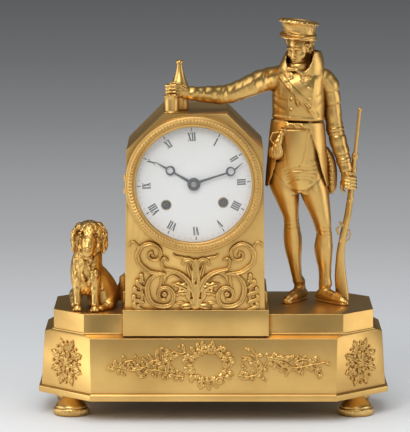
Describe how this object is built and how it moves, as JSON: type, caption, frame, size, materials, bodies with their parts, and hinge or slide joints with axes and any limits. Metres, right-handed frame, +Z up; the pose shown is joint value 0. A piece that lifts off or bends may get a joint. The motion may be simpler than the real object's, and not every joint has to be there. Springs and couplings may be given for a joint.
{
  "type": "figural mantel clock",
  "caption": "Gilt bronze mantel clock with a round dial in a canted case, a standing hunter resting a hand on a beaker, and a seated dog on an eight-sided plinth.",
  "frame": {"origin": "on the table under the middle of the base", "axes": "+Z up, +Y to the back, +X to the hunter's side"},
  "size_m": [0.29, 0.1414, 0.3268],
  "materials": {
    "gilt_bronze": "fire gilt, matte with burnished highlights and darker recesses",
    "movement_brass": "satin",
    "steel": "satin",
    "blued_steel": "blued, polished",
    "bell_metal": "turned, polished",
    "enamel": "glossy white enamel",
    "glass": "clear"
  },
  "bodies": {
    "clock": {"feet": "gilt_bronze", "base_frame": "gilt_bronze", "plinth": "gilt_bronze", "terrace": "gilt_bronze", "case_block": "gilt_bronze", "case_body": "gilt_bronze", "case_front_wall": "gilt_bronze", "case_skirt": "gilt_bronze", "scroll_mount": "gilt_bronze", "wreath_mount": "gilt_bronze", "corner_rosettes": "gilt_bronze", "beaker": "gilt_bronze", "bottle": "gilt_bronze", "hunter_body": "gilt_bronze", "hunter_head": "gilt_bronze", "hunter_left_arm": "gilt_bronze", "hunter_right_arm": "gilt_bronze", "musket": "gilt_bronze", "powder_flask": "gilt_bronze", "game_bag": "gilt_bronze", "dog": "gilt_bronze", "front_plate": "movement_brass", "back_plate": "movement_brass", "straps": "movement_brass", "bell_stand": "movement_brass", "strap_screws": "steel", "suspension_spring": "steel", "bell": "bell_metal", "dial": "enamel"},
    "bezel": {"bezel": "gilt_bronze", "bezel_glass": "glass"},
    "rear_door": {"rear_door": "movement_brass"},
    "minute_hand": {"centre_arbor": "steel", "minute_hand": "blued_steel"},
    "hour_hand": {"hour_wheel": "movement_brass", "hour_hand": "blued_steel"},
    "minute_wheel": {"minute_wheel": "movement_brass"},
    "going_barrel": {"going_barrel": "movement_brass"},
    "striking_barrel": {"striking_barrel": "movement_brass"},
    "going_winding_arbor": {"going_winding_arbor": "steel"},
    "striking_winding_arbor": {"striking_winding_arbor": "steel"},
    "going_click": {"going_click": "steel"},
    "striking_click": {"striking_click": "steel"},
    "pendulum": {"pendulum": "movement_brass"},
    "crutch": {"crutch": "movement_brass"},
    "hammer": {"hammer": "steel"}
  },
  "joints": [
    {"name": "bezel_hinge", "type": "hinge", "parent": "clock", "child": "bezel", "pos_m": [-0.0716, -0.0631, 0.1964], "axis": [0, 0, -1], "range_deg": [0, 100]},
    {"name": "rear_door_hinge", "type": "hinge", "parent": "clock", "child": "rear_door", "pos_m": [0.029, 0.0413, 0.1964], "axis": [0, 0, -1], "range_deg": [0, 110]},
    {"name": "minute_hand_turn", "type": "hinge", "parent": "clock", "child": "minute_hand", "pos_m": [-0.016, -0.065, 0.1964], "axis": [0, 1, 0], "continuous": true},
    {"name": "hour_hand_turn", "type": "hinge", "parent": "clock", "child": "hour_hand", "pos_m": [-0.016, -0.063, 0.1964], "axis": [0, 1, 0], "continuous": true},
    {"name": "minute_wheel_turn", "type": "hinge", "parent": "clock", "child": "minute_wheel", "pos_m": [-0.01652, -0.049, 0.20839], "axis": [0, 1, 0], "continuous": true},
    {"name": "going_barrel_turn", "type": "hinge", "parent": "clock", "child": "going_barrel", "pos_m": [-0.03847, -0.03, 0.1792], "axis": [0, 1, 0], "continuous": true},
    {"name": "striking_barrel_turn", "type": "hinge", "parent": "clock", "child": "striking_barrel", "pos_m": [0.00788, -0.03, 0.18123], "axis": [0, 1, 0], "continuous": true},
    {"name": "going_winding", "type": "hinge", "parent": "clock", "child": "going_winding_arbor", "pos_m": [-0.03847, -0.048, 0.1792], "axis": [0, 1, 0], "continuous": true},
    {"name": "striking_winding", "type": "hinge", "parent": "clock", "child": "striking_winding_arbor", "pos_m": [0.00788, -0.048, 0.18123], "axis": [0, 1, 0], "continuous": true},
    {"name": "going_click_pivot", "type": "hinge", "parent": "clock", "child": "going_click", "pos_m": [-0.03902, -0.0483, 0.19169], "axis": [0, -1, 0], "range_deg": [0, 12], "stiffness_Nm_per_rad": 0.0005},
    {"name": "striking_click_pivot", "type": "hinge", "parent": "clock", "child": "striking_click", "pos_m": [0.00734, -0.0483, 0.19371], "axis": [0, -1, 0], "range_deg": [0, 12], "stiffness_Nm_per_rad": 0.0005},
    {"name": "pendulum_swing", "type": "hinge", "parent": "clock", "child": "pendulum", "pos_m": [-0.01735, -0.0087, 0.22737], "axis": [0, 1, 0], "range_deg": [-3.5, 3.5]},
    {"name": "crutch_swing", "type": "hinge", "parent": "clock", "child": "crutch", "pos_m": [-0.01735, -0.012, 0.22737], "axis": [0, 1, 0], "range_deg": [-3.5, 3.5]},
    {"name": "hammer_swing", "type": "hinge", "parent": "clock", "child": "hammer", "pos_m": [-0.05227, 0, 0.19079], "axis": [0, -1, 0], "range_deg": [0, 15]}
  ],
  "couplings": [
    {"joint": "hour_hand_turn", "follows": "minute_hand_turn", "ratio": 0.083333},
    {"joint": "minute_wheel_turn", "follows": "minute_hand_turn", "ratio": -0.33333},
    {"joint": "going_barrel_turn", "follows": "minute_hand_turn", "ratio": 0.016667},
    {"joint": "crutch_swing", "follows": "pendulum_swing", "ratio": 1}
  ]
}
